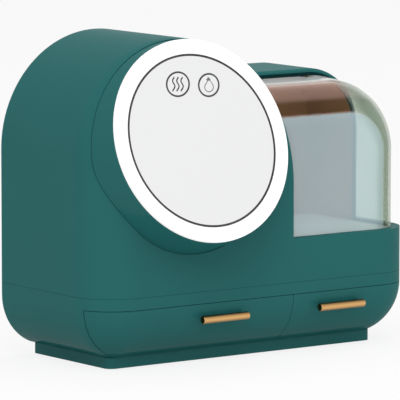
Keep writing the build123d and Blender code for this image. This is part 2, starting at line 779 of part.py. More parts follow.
# Drawers: wrap-around front, tub-shaped tray, bar handle and its screws
boss_y = front + boss_end
seat_y = base_front_y(handle_z - post_r - seat_gap, 0.0) + 0.5
bar_back = base_front_y(handle_z, 0.0) - handle_off
tray_inset = wall + tray_gap
clear_of_split = split_x + seam + wall + boss_r + post_pitch / 2
drawers = (
    ("left", left - 1, split_x - seam / 2, split_x - handle_share * tall_width),
    ("right", split_x + seam / 2, right + 1, max((split_x + right - corner_r) / 2, clear_of_split)),
)
for side, near_x, far_x, handle_x in drawers:
    posts = [handle_x - post_pitch / 2, handle_x + post_pitch / 2]
    post_points = [(x, handle_z) for x in posts]
    inner = -1 if side == "left" else 1
    with BuildPart() as front_core:
        add(base_block(wall, band_top))
        span_box(near_x + max(inner, 0) * wall, far_x + min(inner, 0) * wall, front, wrap_y, 0,
                 drawer_top - seam - wall, Mode.INTERSECT)
        with BuildSketch(Plane.XZ.offset(-boss_y)):
            with Locations(*post_points):
                Circle(boss_r)
        extrude(amount=boss_end + 1, mode=Mode.SUBTRACT)
    with BuildPart() as drawer_front:
        add(base_block(0.0, band_top))
        span_box(near_x, far_x, front - 1, wrap_y - seam, plinth_top + seam, drawer_top - seam, Mode.INTERSECT)
        rear_edges = drawer_front.edges().filter_by(lambda e: abs(e.center().Y - wrap_y + seam) < 0.01)
        chamfer(rear_edges.sort_by(Axis.X)[0 if side == "left" else -1], front_edge)
        add(front_core.part, mode=Mode.SUBTRACT)
        with BuildSketch(Plane.XZ.offset(-seat_y)):
            with Locations(*post_points):
                Circle(post_r + seat_gap)
        extrude(amount=boss_end, mode=Mode.SUBTRACT)
        with BuildSketch(Plane.XZ.offset(-boss_y)):
            with Locations(*post_points):
                Circle(screw_r + seat_gap)
        extrude(amount=boss_end, mode=Mode.SUBTRACT)
    pieces[side + "_drawer_front"] = drawer_front.part

    tray_near = near_x + max(inner, 0) * (wall + tray_gap)
    tray_far = far_x + min(inner, 0) * (wall + tray_gap)
    tray_rear = back - wall - tray_back_gap
    with BuildPart() as tray_core:
        add(base_block(tray_inset + tray_wall, band_top))
        span_box(tray_near + max(inner, 0) * tray_wall, tray_far + min(inner, 0) * tray_wall, front,
                 tray_rear - tray_wall, 0, band_top, Mode.INTERSECT)
        with BuildSketch(Plane.XZ.offset(-boss_y - tray_wall)):
            with Locations(*post_points):
                Circle(boss_r + tray_wall)
        extrude(amount=boss_end + tray_wall, mode=Mode.SUBTRACT)
    with BuildPart() as drawer_tray:
        add(base_block(tray_inset, band_top))
        span_box(tray_near, tray_far, front, tray_rear, 0, tray_top, Mode.INTERSECT)
        add(tray_core.part, mode=Mode.SUBTRACT)
        with BuildSketch(Plane.XZ.offset(-boss_y)):
            with Locations(*post_points):
                Circle(boss_r + seat_gap)
        extrude(amount=boss_end, mode=Mode.SUBTRACT)
        with BuildSketch(Plane.XZ.offset(-boss_y - tray_wall)):
            with Locations(*post_points):
                Circle(screw_r + seat_gap)
        extrude(amount=boss_end, mode=Mode.SUBTRACT)
    pieces[side + "_drawer_tray"] = drawer_tray.part

    with BuildPart() as handle:
        with BuildSketch(Plane.YZ.offset(handle_x - handle_length / 2)):
            with Locations((bar_back - handle_r, handle_z)):
                Circle(handle_r)
        extrude(amount=handle_length)
        fillet(handle.edges().filter_by(GeomType.CIRCLE), 0.8)
        with BuildSketch(Plane.XZ.offset(-seat_y)):
            with Locations(*post_points):
                Circle(post_r)
        extrude(amount=seat_y - bar_back + handle_r)
        with BuildSketch(Plane.XZ.offset(-seat_y)):
            with Locations(*post_points):
                Circle(screw_r)
        extrude(amount=seat_y - bar_back + handle_r, mode=Mode.SUBTRACT)
    pieces[side + "_handle"] = handle.part

    head_y = boss_y + tray_wall
    tip_y = bar_back - handle_r + 0.5
    pieces[side + "_handle_screws"] = Compound([screw_along_y(x, handle_z, head_y, tip_y) for x in posts])

os.makedirs("parts", exist_ok=True)
for name, piece in pieces.items():
    piece.label = name
    export_step(piece, "parts/" + name + ".step")
    print(name, round(piece.volume), len(piece.solids()), piece.bounding_box())
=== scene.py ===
"""Studio picture of a teal-green makeup organizer with a lit mirror, two drawers and a clear cover."""

import json
import logging
import math
from dataclasses import dataclass, field
from enum import Enum

import bmesh
import bpy
from mathutils import Matrix, Vector

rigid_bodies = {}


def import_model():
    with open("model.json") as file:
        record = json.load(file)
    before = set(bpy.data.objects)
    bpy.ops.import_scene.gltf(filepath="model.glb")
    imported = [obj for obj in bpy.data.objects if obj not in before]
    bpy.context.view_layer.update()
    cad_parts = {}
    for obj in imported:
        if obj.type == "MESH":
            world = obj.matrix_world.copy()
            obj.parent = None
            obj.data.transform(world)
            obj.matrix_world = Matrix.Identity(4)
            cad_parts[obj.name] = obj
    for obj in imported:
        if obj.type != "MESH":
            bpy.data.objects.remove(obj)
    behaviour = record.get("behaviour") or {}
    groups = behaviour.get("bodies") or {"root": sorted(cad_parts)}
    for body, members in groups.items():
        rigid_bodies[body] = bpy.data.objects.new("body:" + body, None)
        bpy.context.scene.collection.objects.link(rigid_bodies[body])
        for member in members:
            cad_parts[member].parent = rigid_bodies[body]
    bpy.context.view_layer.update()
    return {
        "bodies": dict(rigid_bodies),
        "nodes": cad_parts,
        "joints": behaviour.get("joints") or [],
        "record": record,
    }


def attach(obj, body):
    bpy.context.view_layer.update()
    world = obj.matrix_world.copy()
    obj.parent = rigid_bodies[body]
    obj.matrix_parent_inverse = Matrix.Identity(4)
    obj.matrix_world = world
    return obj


log = logging.getLogger("organizer")
MM = 0.001
CABINET = "cabinet"
PARTING_HALF = 0.25 * MM
WHITE_TO_RAYS = ("Is Camera Ray", "Is Transmission Ray", "Is Glossy Ray")
Colour = tuple[float, float, float]
Triple = tuple[float, float, float]
Point = tuple[float, float]
Range = tuple[float, float]
Socket = bpy.types.NodeSocket


class Grain(Enum):
    """How a moulded surface is textured: its grains per metre and their height in metres."""

    SATIN = (2600.0, 0.012 * MM)
    SPARKED = (1500.0, 0.05 * MM)


class Side(Enum):
    """The two sides that a drawer can be on."""

    LEFT = "left"
    RIGHT = "right"


@dataclass(frozen=True)
class Mottle:
    """Unevenness of a finish: its noise, and the least and the most share of a value that it leaves."""

    scale: float
    detail: float
    low: float
    high: float
    stretch: Triple = (1.0, 1.0, 1.0)


def shaded(colour: Colour, share: float) -> Colour:
    """Return a colour with each of its parts multiplied by a share."""
    return tuple(part * share for part in colour)


def white_rays(tree: bpy.types.NodeTree) -> Socket:
    """Tell the rays that see the surroundings as white from those that light the object.

    Args:
        tree: the node tree that needs to know.

    Returns:
        One for the rays of the camera, of mirrors and of clear pieces, and nought for the rest.
    """
    path = tree.nodes.new("ShaderNodeLightPath")
    seen = path.outputs[WHITE_TO_RAYS[0]]
    for kind in WHITE_TO_RAYS[1:]:
        larger = tree.nodes.new("ShaderNodeMath")
        larger.operation = "MAXIMUM"
        tree.links.new(seen, larger.inputs[0])
        tree.links.new(path.outputs[kind], larger.inputs[1])
        seen = larger.outputs[0]
    return seen


class NodeSheet:
    """A material's node tree, with short calls for the nodes that the finishes share."""

    def __init__(self, name: str) -> None:
        """Start an empty tree with its output.

        Args:
            name: the material's name.
        """
        self.material = bpy.data.materials.new(name)
        self.material.use_nodes = True
        self.tree = self.material.node_tree
        self.tree.nodes.clear()
        self.output = self.tree.nodes.new("ShaderNodeOutputMaterial")

    def node(self, kind: str, **settings: object) -> bpy.types.Node:
        """Add a node.

        Args:
            kind: Blender's node type.
            settings: node attributes, or input values by socket name with spaces as underscores.

        Returns:
            The new node.
        """
        made = self.tree.nodes.new(kind)
        for key, value in settings.items():
            socket = made.inputs.get(key.replace("_", " "))
            if socket is not None:
                socket.default_value = value
            else:
                setattr(made, key, value)
        return made

    def link(self, out: Socket, into: Socket) -> None:
        """Join two sockets."""
        self.tree.links.new(out, into)

    def place(self) -> Socket:
        """Return the coordinates of the piece itself, which move with it."""
        return self.node("ShaderNodeTexCoord").outputs["Object"]

    def facing(self) -> dict[str, Socket]:
        """Return the surface's direction in the piece's own space, split into X, Y and Z."""
        return self.split(self.node("ShaderNodeTexCoord").outputs["Normal"])

    def split(self, vector: Socket) -> dict[str, Socket]:
        """Split a vector.

        Args:
            vector: what is split.

        Returns:
            Its parts by the names X, Y and Z.
        """
        parts = self.node("ShaderNodeSeparateXYZ")
        self.link(vector, parts.inputs["Vector"])
        return {name: parts.outputs[name] for name in "XYZ"}

    def work_out(self, operation: str, *values: Socket | float, **settings: object) -> Socket:
        """Work out a value from others.

        Args:
            operation: Blender's name for the sum.
            values: sockets or plain numbers, in the order that the sum takes them.
            settings: the node's other settings.

        Returns:
            The result.
        """
        made = self.node("ShaderNodeMath", operation=operation, **settings)
        for socket, value in zip(made.inputs, values):
            if isinstance(value, Socket):
                self.link(value, socket)
            else:
                socket.default_value = value
        return made.outputs[0]

    def noise(self, scale: float, detail: float, stretch: Triple = (1.0, 1.0, 1.0)) -> Socket:
        """Add noise in the piece's own space.

        Args:
            scale: noise cells per metre.
            detail: octaves.
            stretch: scale along each axis.

        Returns:
            The noise factor.
        """
        mapping = self.node("ShaderNodeMapping", Scale=stretch)
        self.link(self.place(), mapping.inputs["Vector"])
        noise = self.node("ShaderNodeTexNoise", Scale=scale, Detail=detail)
        self.link(mapping.outputs["Vector"], noise.inputs["Vector"])
        return noise.outputs["Fac"]

    def spread(
        self, value: Socket, low: float, high: float, start: float = 0.0, end: float = 1.0
    ) -> Socket:
        """Map a value from one range to another.

        Args:
            value: what is mapped.
            low: the result at the start.
            high: the result at the end.
            start: the value where the range starts.
            end: the value where the range ends.

        Returns:
            The mapped value.
        """
        ramp = self.node("ShaderNodeMapRange", From_Min=start, From_Max=end, To_Min=low, To_Max=high)
        self.link(value, ramp.inputs["Value"])
        return ramp.outputs["Result"]

    def turned(self, part: Socket, turn: Range, most: float = 1.0) -> Socket:
        """Return nought before a part of the surface's direction enters a range, rising to the most."""
        return self.spread(self.work_out("ABSOLUTE", part), 0.0, most, *turn)

    def colour_mix(self, factor: Socket) -> tuple[Socket, Socket, Socket]:
        """Add a mix of two colours.

        Args:
            factor: how much of the second colour shows.

        Returns:
            The sockets of the first colour, of the second and of the result.
        """
        mix = self.node("ShaderNodeMix", data_type="RGBA")
        self.link(factor, mix.inputs[0])
        first, second = [socket for socket in mix.inputs if socket.type == "RGBA"]
        mixed = next(socket for socket in mix.outputs if socket.type == "RGBA")
        return first, second, mixed

    def blend(self, factor: Socket, low: Colour, high: Colour) -> Socket:
        """Blend two plain colours by a factor.

        Args:
            factor: how much of the second shows.
            low: the first colour.
            high: the second colour.

        Returns:
            The blended colour.
        """
        first, second, mixed = self.colour_mix(factor)
        first.default_value = (*low, 1)
        second.default_value = (*high, 1)
        return mixed

    def lay(self, factor: Socket, under: Socket, over: Colour) -> Socket:
        """Lay a plain colour over another by a factor.

        Args:
            factor: how much of it shows.
            under: the colour below.
            over: the colour that is laid on.

        Returns:
            The mixed colour.
        """
        first, second, mixed = self.colour_mix(factor)
        self.link(under, first)
        second.default_value = (*over, 1)
        return mixed

    def line_at(self, height: float, tone: Socket, line: Colour) -> Socket:
        """Return a colour with a fine level line over it, such as the parting line of two mouldings."""
        near = self.work_out("COMPARE", self.split(self.place())["Z"], height, PARTING_HALF)
        return self.lay(near, tone, line)

    def uneven_colour(self, colour: Colour, mottle: Mottle) -> Socket:
        """Return a colour made slightly uneven."""
        factor = self.noise(mottle.scale, mottle.detail, mottle.stretch)
        return self.blend(factor, shaded(colour, mottle.low), shaded(colour, mottle.high))

    def uneven_value(self, value: float, mottle: Mottle) -> Socket:
        """Return a value, such as a roughness, made slightly uneven."""
        factor = self.noise(mottle.scale, mottle.detail, mottle.stretch)
        return self.spread(factor, value * mottle.low, value * mottle.high)

    def bump(self, factor: Socket, strength: float, height: float) -> Socket:
        """Turn a factor into a bumped normal.

        Args:
            factor: the height field.
            strength: how much of it shows.
            height: its height in metres.

        Returns:
            The bumped normal.
        """
        bump = self.node("ShaderNodeBump", Strength=strength, Distance=height)
        self.link(factor, bump.inputs["Height"])
        return bump.outputs["Normal"]

    def shader_mix(self, factor: Socket, first: bpy.types.Node, second: bpy.types.Node) -> bpy.types.Node:
        """Mix two shaders.

        Args:
            factor: how much of the second shows.
            first: the first shader.
            second: the second shader.

        Returns:
            The mixed shader.
        """
        mix = self.node("ShaderNodeMixShader")
        self.link(factor, mix.inputs["Fac"])
        self.link(first.outputs[0], mix.inputs[1])
        self.link(second.outputs[0], mix.inputs[2])
        return mix

    def finish(self, shader: bpy.types.Node) -> bpy.types.Material:
        """Send a shader to the output and return the material."""
        self.link(shader.outputs[0], self.output.inputs["Surface"])
        return self.material


@dataclass(frozen=True)
class MouldedPlastic:
    """Injection-moulded plastic, slightly uneven in colour and surface, with a clear gloss on some."""

    name: str
    colour: Colour
    roughness: float
    specular: float
    grain: Grain = Grain.SATIN
    grain_detail: float = 2.0
    grain_strength: float = 0.35
    parting: float | None = None
    parting_share: float = 0.55
    gloss: float = 0.0
    gloss_roughness: float = 0.12
    cloud: Mottle = Mottle(9.0, 3.0, 0.95, 1.05)
    smear: Mottle = Mottle(34.0, 4.0, 0.88, 1.12)

    def make(self) -> bpy.types.Material:
        """Build the material.

        Returns:
            The finished material.
        """
        sheet = NodeSheet(self.name)
        shader = sheet.node(
            "ShaderNodeBsdfPrincipled",
            Specular_IOR_Level=self.specular,
            Coat_Weight=self.gloss,
            Coat_Roughness=self.gloss_roughness,
        )
        tone = sheet.uneven_colour(self.colour, self.cloud)
        if self.parting is not None:
            tone = sheet.line_at(self.parting, tone, shaded(self.colour, self.parting_share))
        sheet.link(tone, shader.inputs["Base Color"])
        sheet.link(sheet.uneven_value(self.roughness, self.smear), shader.inputs["Roughness"])
        scale, height = self.grain.value
        grains = sheet.noise(scale, self.grain_detail)
        sheet.link(sheet.bump(grains, self.grain_strength, height), shader.inputs["Normal"])
        return sheet.finish(shader)


@dataclass(frozen=True)
class LitDiffuser:
    """White diffusing plastic that glows from the lamps behind it, a little more over each lamp."""

    name: str
    colour: Colour
    glow: float
    lamps: int
    centre: Triple
    between: float = 0.96
    roughness: float = 0.42
    specular: float = 0.3
    milk: Mottle = Mottle(60.0, 2.0, 0.97, 1.0)

    def make(self) -> bpy.types.Material:
        """Build the material.

        Returns:
            The finished material.
        """
        sheet = NodeSheet(self.name)
        shader = sheet.node(
            "ShaderNodeBsdfPrincipled", Roughness=self.roughness, Specular_IOR_Level=self.specular
        )
        tint = sheet.uneven_colour(self.colour, self.milk)
        sheet.link(tint, shader.inputs["Base Color"])
        sheet.link(tint, shader.inputs["Emission Color"])
        around = sheet.node("ShaderNodeVectorMath", operation="SUBTRACT")
        around.inputs[1].default_value = self.centre
        sheet.link(sheet.place(), around.inputs[0])
        parts = sheet.split(around.outputs["Vector"])
        angle = sheet.work_out("ARCTAN2", parts["Z"], parts["X"])
        wave = sheet.work_out("COSINE", sheet.work_out("MULTIPLY", angle, float(self.lamps)))
        level = sheet.spread(wave, self.glow * self.between, self.glow, -1.0, 1.0)
        sheet.link(level, shader.inputs["Emission Strength"])
        return sheet.finish(shader)


@dataclass(frozen=True)
class SilveredGlass:
    """Mirror glass with the faint unevenness of a wiped surface."""

    name: str
    colour: Colour
    roughness: float = 0.03
    haze: Mottle = Mottle(7.0, 3.0, 0.985, 1.0)
    wiped: Mottle = Mottle(26.0, 4.0, 0.5, 1.5, (1.0, 1.0, 3.0))

    def make(self) -> bpy.types.Material:
        """Build the material.

        Returns:
            The finished material.
        """
        sheet = NodeSheet(self.name)
        shader = sheet.node("ShaderNodeBsdfPrincipled", Metallic=1.0)
        sheet.link(sheet.uneven_colour(self.colour, self.haze), shader.inputs["Base Color"])
        sheet.link(sheet.uneven_value(self.roughness, self.wiped), shader.inputs["Roughness"])
        return sheet.finish(shader)


@dataclass(frozen=True)
class ClearPlastic:
    """Clear moulded plastic, tinted at its rounded side and glossy at a glance, with painted reflection:
    pale on its flat front pane, a pinkish sheen on its rounded top and pale highlights on its flat top and
    its rim.
    """

    name: str
    clear: Colour
    tint: Colour
    # Painted reflection colours: pale on the front pane, a pinkish sheen, and pale highlights on the rim and
    # on the flat top (crown).
    pane: Colour
    sheen: Colour
    rim: Colour
    crown: Colour
    # Shares of the painted reflection: a faint one everywhere, more on the front pane and on the rounded
    # top.
    least_sheen_share: float
    pane_reflection_share: float
    top_sheen_share: float
    glance: float
    side_turn: Range
    pane_turn: Range
    top_turn: Range
    crown_turn: Range
    specular: float = 0.5
    roughness: Range = (0.05, 0.09)
    edge_blend: float = 0.5
    edge_power: float = 5.0
    polish_scale: float = 45.0
    polish_detail: float = 3.0

    def make(self) -> bpy.types.Material:
        """Build the material.

        Returns:
            The finished material.
        """
        sheet = NodeSheet(self.name)
        facing = sheet.facing()
        on_side = sheet.turned(facing["X"], self.side_turn)
        on_pane = sheet.turned(facing["Y"], self.pane_turn)
        on_top = sheet.turned(facing["Z"], self.top_turn)
        on_crown = sheet.turned(facing["Z"], self.crown_turn)
        body = sheet.node("ShaderNodeBsdfTransparent")
        sheet.link(sheet.blend(on_side, self.clear, self.tint), body.inputs["Color"])
        skin = sheet.node("ShaderNodeBsdfPrincipled", Specular_IOR_Level=self.specular)
        # Painted sheen and highlights: the skin is pinkish, paler on the rounded side, white on the flat top
        # and pale on the front pane.
        rounding = sheet.lay(on_crown, sheet.blend(on_side, self.sheen, self.rim), self.crown)
        sheet.link(sheet.lay(on_pane, rounding, self.pane), skin.inputs["Base Color"])
        polish = sheet.noise(self.polish_scale, self.polish_detail)
        sheet.link(sheet.spread(polish, *self.roughness), skin.inputs["Roughness"])
        # Painted reflection: a pale veil on the front pane and a sheen on the rounded top, by the surface's
        # own direction.
        pane_reflection_share = sheet.spread(on_pane, self.least_sheen_share, self.pane_reflection_share)
        top_sheen_share = sheet.spread(on_top, self.least_sheen_share, self.top_sheen_share)
        painted_reflection = sheet.work_out("MAXIMUM", pane_reflection_share, top_sheen_share)
        # Painted reflection at a glance: more of the pale skin shows where the surface turns edge-on.
        edge = sheet.node("ShaderNodeLayerWeight", Blend=self.edge_blend)
        steep = sheet.work_out("POWER", edge.outputs["Facing"], self.edge_power)
        shine = sheet.work_out("MULTIPLY_ADD", steep, self.glance, painted_reflection, use_clamp=True)
        return sheet.finish(sheet.shader_mix(shine, body, skin))


@dataclass(frozen=True)
class BrushedMetal:
    """Brushed metal with fine streaks along the bar."""

    name: str
    dark: Colour
    light: Colour
    roughness: float
    streak: Triple = (0.04, 1.0, 1.0)
    streak_scale: float = 2400.0
    streak_detail: float = 3.0
    streak_strength: float = 0.25
    streak_height: float = 0.02 * MM
    streak_gloss: Range = (0.8, 1.2)
    # Strength and darkness of the painted shade above, below and on the ends.
    painted_shade: float = 0.0
    painted_shade_tone: float = 0.1
    above_turn: Range = (0.2, 0.9)
    end_turn: Range = (0.8, 0.9)

    def make(self) -> bpy.types.Material:
        """Build the material.

        Returns:
            The finished material.
        """
        sheet = NodeSheet(self.name)
        shader = sheet.node("ShaderNodeBsdfPrincipled", Metallic=1.0)
        streaks = sheet.noise(self.streak_scale, self.streak_detail, self.streak)
        tone = self.shade(sheet, sheet.blend(streaks, self.dark, self.light))
        sheet.link(tone, shader.inputs["Base Color"])
        low, high = (self.roughness * share for share in self.streak_gloss)
        sheet.link(sheet.spread(streaks, low, high), shader.inputs["Roughness"])
        relief = sheet.bump(streaks, self.streak_strength, self.streak_height)
        sheet.link(relief, shader.inputs["Normal"])
        return sheet.finish(shader)

    def shade(self, sheet: NodeSheet, tone: Socket) -> Socket:
        """Darken the metal above, below and on its ends: painted reflection of dark surroundings above and
        below, and painted shade on the ends.

        Args:
            sheet: the material's nodes.
            tone: the metal's own colour.

        Returns:
            The shaded colour.
        """
        # Painted shade: faces turned up, down or to the ends darken, standing in for reflected dark
        # surroundings and the shade on the end faces.
        facing = sheet.facing()
        above = sheet.turned(facing["Z"], self.above_turn, self.painted_shade)
        ends = sheet.turned(facing["X"], self.end_turn, self.painted_shade)
        share = sheet.work_out("MAXIMUM", above, ends)
        return sheet.lay(share, tone, shaded(self.dark, self.painted_shade_tone))


@dataclass(frozen=True)
class StudioFloor:
    """Pale floor that reads as white to the camera and keeps a soft shadow."""

    name: str
    colour: Colour
    lift: float
    roughness: float = 0.9
    speck: Mottle = Mottle(14.0, 3.0, 0.985, 1.0)

    def make(self) -> bpy.types.Material:
        """Build the material.

        Returns:
            The finished material.
        """
        sheet = NodeSheet(self.name)
        matt = sheet.node("ShaderNodeBsdfPrincipled", Roughness=self.roughness, Specular_IOR_Level=0.0)
        sheet.link(sheet.uneven_colour(self.colour, self.speck), matt.inputs["Base Color"])
        white = sheet.node("ShaderNodeEmission", Strength=1.0)
        share = sheet.work_out("MULTIPLY", white_rays(sheet.tree), self.lift)
        return sheet.finish(sheet.shader_mix(share, matt, white))


class Finish(Enum):
    """The finishes that the organizer's pieces wear."""

    TEAL_SHELL = MouldedPlastic(
        "teal_shell", (0.019, 0.130, 0.127), 0.27, 0.0, parting=69.0 * MM, gloss=0.16
    )
    TEAL_TRAY = MouldedPlastic("teal_tray", (0.018, 0.116, 0.113), 0.5, 0.14, Grain.SPARKED)
    DARK_TRIM = MouldedPlastic("dark_trim_plastic", (0.040, 0.040, 0.043), 0.45, 0.3)
    # Painted shadow: a dark strip laid on the hood's front face where the gap under its rim is in shade.
    DARK_SEAL = MouldedPlastic("painted_shadow_strip", (0.004, 0.030, 0.034), 0.6, 0.02)
    ICON_INK = MouldedPlastic("icon_ink", (0.060, 0.060, 0.064), 0.6, 0.2)
    GREY_INK = MouldedPlastic("grey_ink", (0.210, 0.210, 0.215), 0.6, 0.2)
    BROWN_LINING = MouldedPlastic("copper_brown_plastic", (0.46, 0.235, 0.10), 0.5, 0.1)
    PALE_FLOOR = MouldedPlastic("pale_plastic", (0.90, 0.89, 0.87), 0.45, 0.3)
    WHITE_INNER = MouldedPlastic("white_inner", (0.76, 0.76, 0.74), 0.5, 0.3)
    SLIDER = MouldedPlastic("slider_strip", (0.55, 0.55, 0.53), 0.35, 0.3)
    BOARD = MouldedPlastic("board_lacquer", (0.035, 0.160, 0.070), 0.4, 0.4)
    CELL_SLEEVE = MouldedPlastic("cell_sleeve", (0.050, 0.140, 0.360), 0.35, 0.4)
    RUBBER = MouldedPlastic("pad_rubber", (0.030, 0.030, 0.030), 0.8, 0.2, Grain.SPARKED)
    MIRROR = SilveredGlass("silvered_glass", (0.87, 0.872, 0.875))
    # The clear cover wears painted reflection: a pale front pane, a pinkish sheen on its rounded top and
    # pale highlights on its flat top and rim.
    CLEAR = ClearPlastic(
        "clear_plastic",
        clear=(0.97, 0.98, 0.97),
        tint=(0.70, 0.75, 0.695),
        pane=(0.66, 0.84, 0.92),
        sheen=(0.86, 0.54, 0.46),
        rim=(0.92, 0.93, 0.89),
        crown=(0.93, 0.92, 0.90),
        least_sheen_share=0.012,
        pane_reflection_share=0.31,
        top_sheen_share=0.10,
        glance=1.0,
        side_turn=(0.01, 0.2),
        pane_turn=(0.948, 0.971),
        top_turn=(0.59, 0.69),
        crown_turn=(0.985, 0.998),
    )
    # The gold handles wear painted shade above, below and on their ends.
    GOLD = BrushedMetal("brushed_gold", (0.60, 0.33, 0.12), (0.78, 0.49, 0.21), 0.34, painted_shade=0.9)
    STEEL = BrushedMetal("zinc_steel", (0.45, 0.45, 0.46), (0.62, 0.62, 0.64), 0.32, (1.0, 1.0, 1.0))
    FLOOR = StudioFloor("studio_floor", (0.86, 0.86, 0.86), 0.84)

    def material(self) -> bpy.types.Material:
        """Make this finish's material the first time that it is asked for.

        Returns:
            The material, the same one each time.
        """
        if self not in MADE:
            MADE[self] = self.value.make()
        return MADE[self]


MADE: dict[Finish, bpy.types.Material] = {}


@dataclass
class Dresser:
    """Puts finishes on the frame's pieces."""

    frame: dict

    def wear(self, finish: Finish, *nodes: str) -> None:
        """Give a finish to nodes, by their names in the frame."""
        for node in nodes:
            self.paint(node, finish.material())

    def paint(self, node: str, material: bpy.types.Material) -> None:
        """Put one material in a node's slots.

        Args:
            node: the node's name in the frame.
            material: what it wears.
        """
        mesh = self.frame["nodes"][node].data
        mesh.materials.clear()
        mesh.materials.append(material)
        log.info("%s wears %s", node, material.name)


def raise_strip(
    mesh: bmesh.types.BMesh, edges: list[tuple[Vector, Vector]], thick: float, closed: bool, place: Matrix
) -> None:
    """Raise a thin solid between two edges that run side by side on a plane.

    Args:
        mesh: the mesh that takes it.
        edges: pairs of points, one on each edge.
        thick: how far it stands off the plane.
        closed: whether the last pair joins the first.
        place: from the plane to the world.
    """
    rows = []
    for first, second in edges:
        ring = ((first, 0.0), (second, 0.0), (second, thick), (first, thick))
        rows.append([mesh.verts.new(place @ Vector((*corner, level))) for corner, level in ring])
    count = len(rows)
    for index in range(count if closed else count - 1):
        here, there = rows[index], rows[(index + 1) % count]
        for k in range(len(here)):
            after = (k + 1) % len(here)
            mesh.faces.new((here[k], there[k], there[after], here[after]))
    if not closed:
        mesh.faces.new(rows[0][::-1])
        mesh.faces.new(rows[-1])


@dataclass
class Ribbon:
    """A thin flat line of print, drawn on a plane as a closed solid."""

    width: float
    thick: float = 0.08 * MM

    def add(self, mesh: bmesh.types.BMesh, path: list[Point], closed: bool, place: Matrix) -> None:
        """Add one line to a mesh.

        Args:
            mesh: the mesh that takes it.
            path: points along its middle, in metres on the plane.
            closed: whether the last point joins the first.
            place: from the plane to the world.
        """
        count = len(path)
        edges = []
        for index, point in enumerate(path):
            back = path[index - 1] if closed or index else point
            ahead = path[(index + 1) % count] if closed or index + 1 < count else point
            along = Vector((ahead[0] - back[0], ahead[1] - back[1])).normalized()
            side = Vector((-along.y, along.x)) * self.width / 2
            middle = Vector(point)
            edges.append((middle + side, middle - side))
        raise_strip(mesh, edges, self.thick, closed, place)


def keep_mesh(name: str, mesh: bmesh.types.BMesh, finish: Finish) -> bpy.types.Object:
    """Turn a built mesh into a piece with a finish.

    Args:
        name: the piece's name.
        mesh: its shape, freed here.
        finish: what it wears.

    Returns:
        The new object.
    """
    bmesh.ops.recalc_face_normals(mesh, faces=mesh.faces)
    data = bpy.data.meshes.new(name)
    mesh.to_mesh(data)
    mesh.free()
    data.materials.append(finish.material())
    piece = bpy.data.objects.new(name, data)
    bpy.context.collection.objects.link(piece)
    log.info("%s made in %s", name, finish.material().name)
    return piece


@dataclass
class Cabinet:
    """The moulded green body: plinth, drawer housing and the arch and hood above."""

    def dress(self, dresser: Dresser) -> None:
        """Put the finishes on the body.

        Args:
            dresser: what puts them on.
        """
        dresser.wear(Finish.TEAL_SHELL, "upper_shell", "drawer_housing", "base_plinth", "back_cover")
        dresser.wear(Finish.RUBBER, "rubber_feet")
        dresser.wear(Finish.SLIDER, "runner_strips")
        dresser.wear(Finish.STEEL, "back_cover_screws", "charge_socket")


